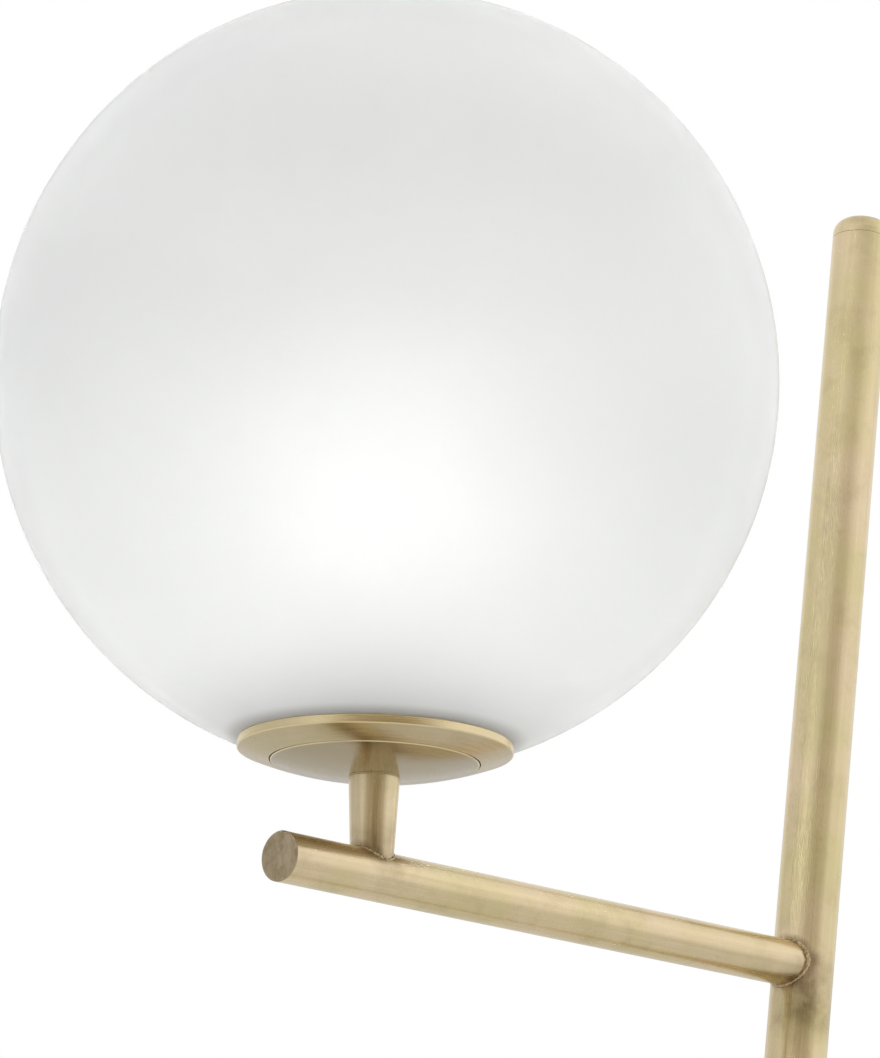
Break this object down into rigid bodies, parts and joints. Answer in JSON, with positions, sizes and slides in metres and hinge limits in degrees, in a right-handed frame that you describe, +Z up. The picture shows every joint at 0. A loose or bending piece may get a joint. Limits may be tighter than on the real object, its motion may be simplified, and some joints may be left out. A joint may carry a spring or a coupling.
{
  "type": "globe floor lamp",
  "caption": "Floor lamp with a leaning brass pole on a round base and a level side arm that carries an opal glass globe on a dished gallery.",
  "frame": {"origin": "on the floor, at the centre of the round base, where the pole's axis meets the floor", "axes": "+Z up; +X from the globe's side to the side the pole leans to; -Y is the front"},
  "size_m": [0.45, 0.3, 1.4],
  "materials": {
    "brushed_brass": "brushed antique brass, clear lacquer",
    "weld_brass": "dressed weld bead",
    "cast_iron": "primed casting",
    "rubber_pad": "matt",
    "black_plastic": "moulded thermoset",
    "zinc_steel": "zinc plated",
    "plain_brass": "bright drawn",
    "spring_steel": "tempered strip",
    "ceramic_core": "unglazed",
    "silicone": "translucent white",
    "lead_sheath": "satin sheath",
    "brown_core": "insulation",
    "blue_core": "insulation",
    "earth_green": "insulation",
    "opal_glass": "opal white, satin",
    "bulb_glass": "opal",
    "bulb_metal": "nickel plated",
    "bulb_bead": "dark",
    "bulb_plastic": "white"
  },
  "bodies": {
    "stand": {"base_cover": "brushed_brass", "foot_collar": "brushed_brass", "pole_lower": "brushed_brass", "pole_upper": "brushed_brass", "pole_cap": "brushed_brass", "arm_tube": "brushed_brass", "arm_plug": "brushed_brass", "stem": "brushed_brass", "centre_disc": "brushed_brass", "gallery_ring": "brushed_brass", "arm_weld": "weld_brass", "stem_weld": "weld_brass", "base_ballast": "cast_iron", "floor_pad": "rubber_pad", "cord_inlet": "black_plastic", "holder_cup": "black_plastic", "holder_skirt": "black_plastic", "terminal_block": "black_plastic", "draw_stud": "zinc_steel", "wedge_washer": "zinc_steel", "draw_nut": "zinc_steel", "foot_plug": "zinc_steel", "pole_joiner": "zinc_steel", "carrier_plate": "zinc_steel", "nipple": "zinc_steel", "lock_washer": "zinc_steel", "lock_nut": "zinc_steel", "clip_screws": "zinc_steel", "block_screws": "zinc_steel", "earth_screw": "zinc_steel", "earth_tag": "plain_brass", "screw_shell": "plain_brass", "centre_contact": "plain_brass", "holder_terminals": "plain_brass", "spring_clip_1": "spring_steel", "spring_clip_2": "spring_steel", "spring_clip_3": "spring_steel", "holder_core": "ceramic_core", "glass_gasket": "silicone", "inner_lead": "lead_sheath", "base_core_live": "brown_core", "holder_core_live": "brown_core", "base_core_neutral": "blue_core", "holder_core_neutral": "blue_core", "earth_core": "earth_green"},
    "bulb": {"bulb_cap": "bulb_metal", "bulb_bead": "bulb_bead", "bulb_tip": "plain_brass", "bulb_collar": "bulb_plastic", "bulb_envelope": "bulb_glass"},
    "globe": {"glass_globe": "opal_glass"}
  },
  "joints": [
    {"name": "bulb_unscrew", "type": "slide", "parent": "stand", "child": "bulb", "axis": [0, 0, 1], "range_m": [0, 0.026]},
    {"name": "globe_lift", "type": "slide", "parent": "stand", "child": "globe", "axis": [0, 0, 1], "range_m": [0, 0.2]}
  ]
}
